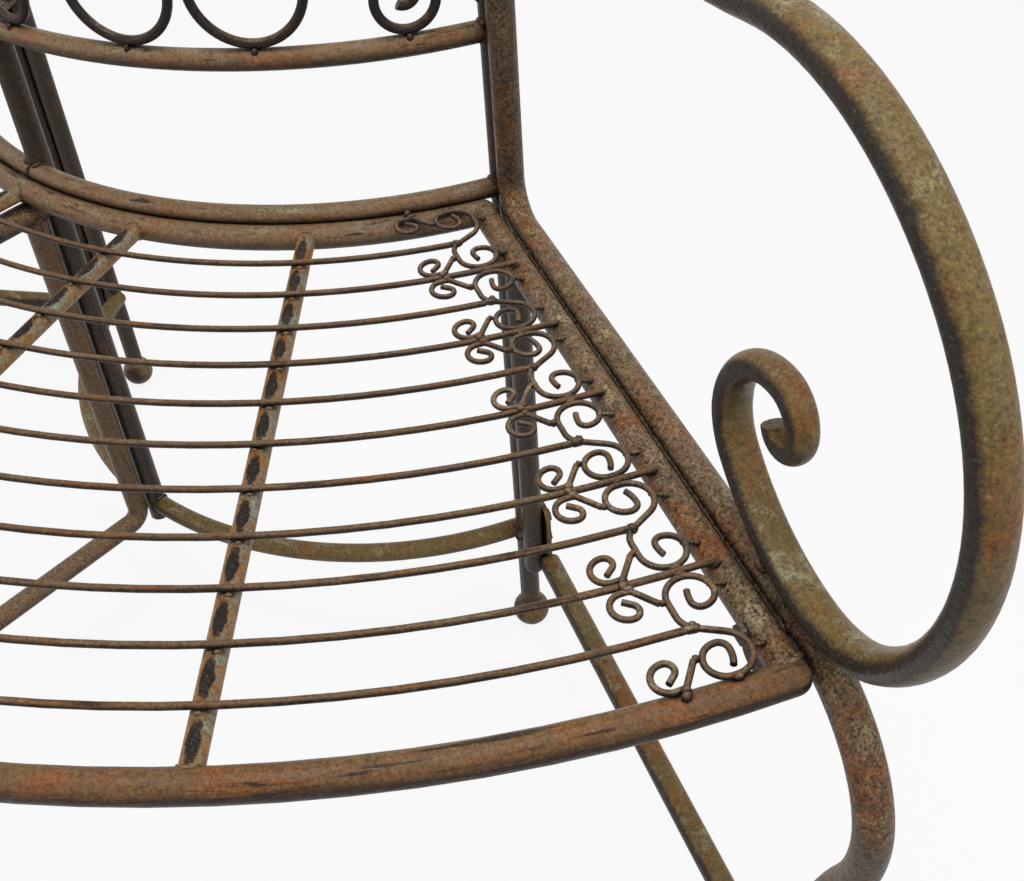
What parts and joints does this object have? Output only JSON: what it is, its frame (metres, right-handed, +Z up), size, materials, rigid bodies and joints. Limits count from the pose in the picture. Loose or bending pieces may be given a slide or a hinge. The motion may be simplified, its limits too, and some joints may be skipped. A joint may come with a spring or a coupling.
{
  "type": "tree bench",
  "caption": "Curved wrought-metal garden bench that stands round part of a tree trunk, with a wire seat, scrolled end panels, rolled armrests and a scrolled back.",
  "frame": {"origin": "on the floor under the middle front foot; the trunk axis, the centre of all the arcs, stands 0.814 m behind it on +Y", "axes": "+Z up; the sitter in the middle faces -Y; +X along the bench to the right-hand end"},
  "size_m": [1.4636, 0.702, 0.8965],
  "materials": {
    "brown_paint": "antiqued brown paint, rusty and mottled",
    "olive_paint": "antiqued brown paint rubbed with olive",
    "fastener": "painted over with the frame"
  },
  "bodies": {
    "root": {"armrest_left": "olive_paint", "armrest_right": "olive_paint", "back_bottom_rail_left": "brown_paint", "back_bottom_rail_right": "brown_paint", "back_mid_rail_left": "brown_paint", "back_mid_rail_right": "brown_paint", "back_post_left": "olive_paint", "back_post_middle": "olive_paint", "back_post_right": "olive_paint", "back_top_rail_left": "brown_paint", "back_top_rail_right": "brown_paint", "ball_feet": "olive_paint", "corner_strut_left": "brown_paint", "corner_strut_right": "brown_paint", "front_leg_left": "brown_paint", "front_leg_middle": "brown_paint", "front_leg_right": "brown_paint", "lyre_scrolls_left": "brown_paint", "lyre_scrolls_right": "brown_paint", "middle_rear_leg": "brown_paint", "middle_support_rail": "brown_paint", "radial_stretcher_left": "brown_paint", "radial_stretcher_right": "brown_paint", "rear_leg_left": "olive_paint", "rear_leg_right": "olive_paint", "ring_stretcher_left": "brown_paint", "ring_stretcher_right": "brown_paint", "seat_back_rail": "brown_paint", "seat_bolts": "fastener", "seat_cross_bar_1": "brown_paint", "seat_cross_bar_2": "brown_paint", "seat_cross_bar_3": "brown_paint", "seat_cross_bar_4": "brown_paint", "seat_cross_bar_5": "brown_paint", "seat_end_rail_left": "brown_paint", "seat_end_rail_right": "brown_paint", "seat_front_rail": "brown_paint", "seat_j_scrolls_left": "brown_paint", "seat_j_scrolls_right": "brown_paint", "seat_lugs": "brown_paint", "seat_s_scrolls_left": "brown_paint", "seat_s_scrolls_right": "brown_paint", "seat_wire_01": "brown_paint", "seat_wire_02": "brown_paint", "seat_wire_03": "brown_paint", "seat_wire_04": "brown_paint", "seat_wire_05": "brown_paint", "seat_wire_06": "brown_paint", "seat_wire_07": "brown_paint", "seat_wire_08": "brown_paint", "seat_wire_09": "brown_paint", "seat_wire_10": "brown_paint", "seat_wire_11": "brown_paint", "side_rail_left": "brown_paint", "side_rail_right": "brown_paint", "side_scrolls_left": "brown_paint", "side_scrolls_right": "brown_paint", "stretcher_bolts": "fastener"}
  },
  "joints": []
}
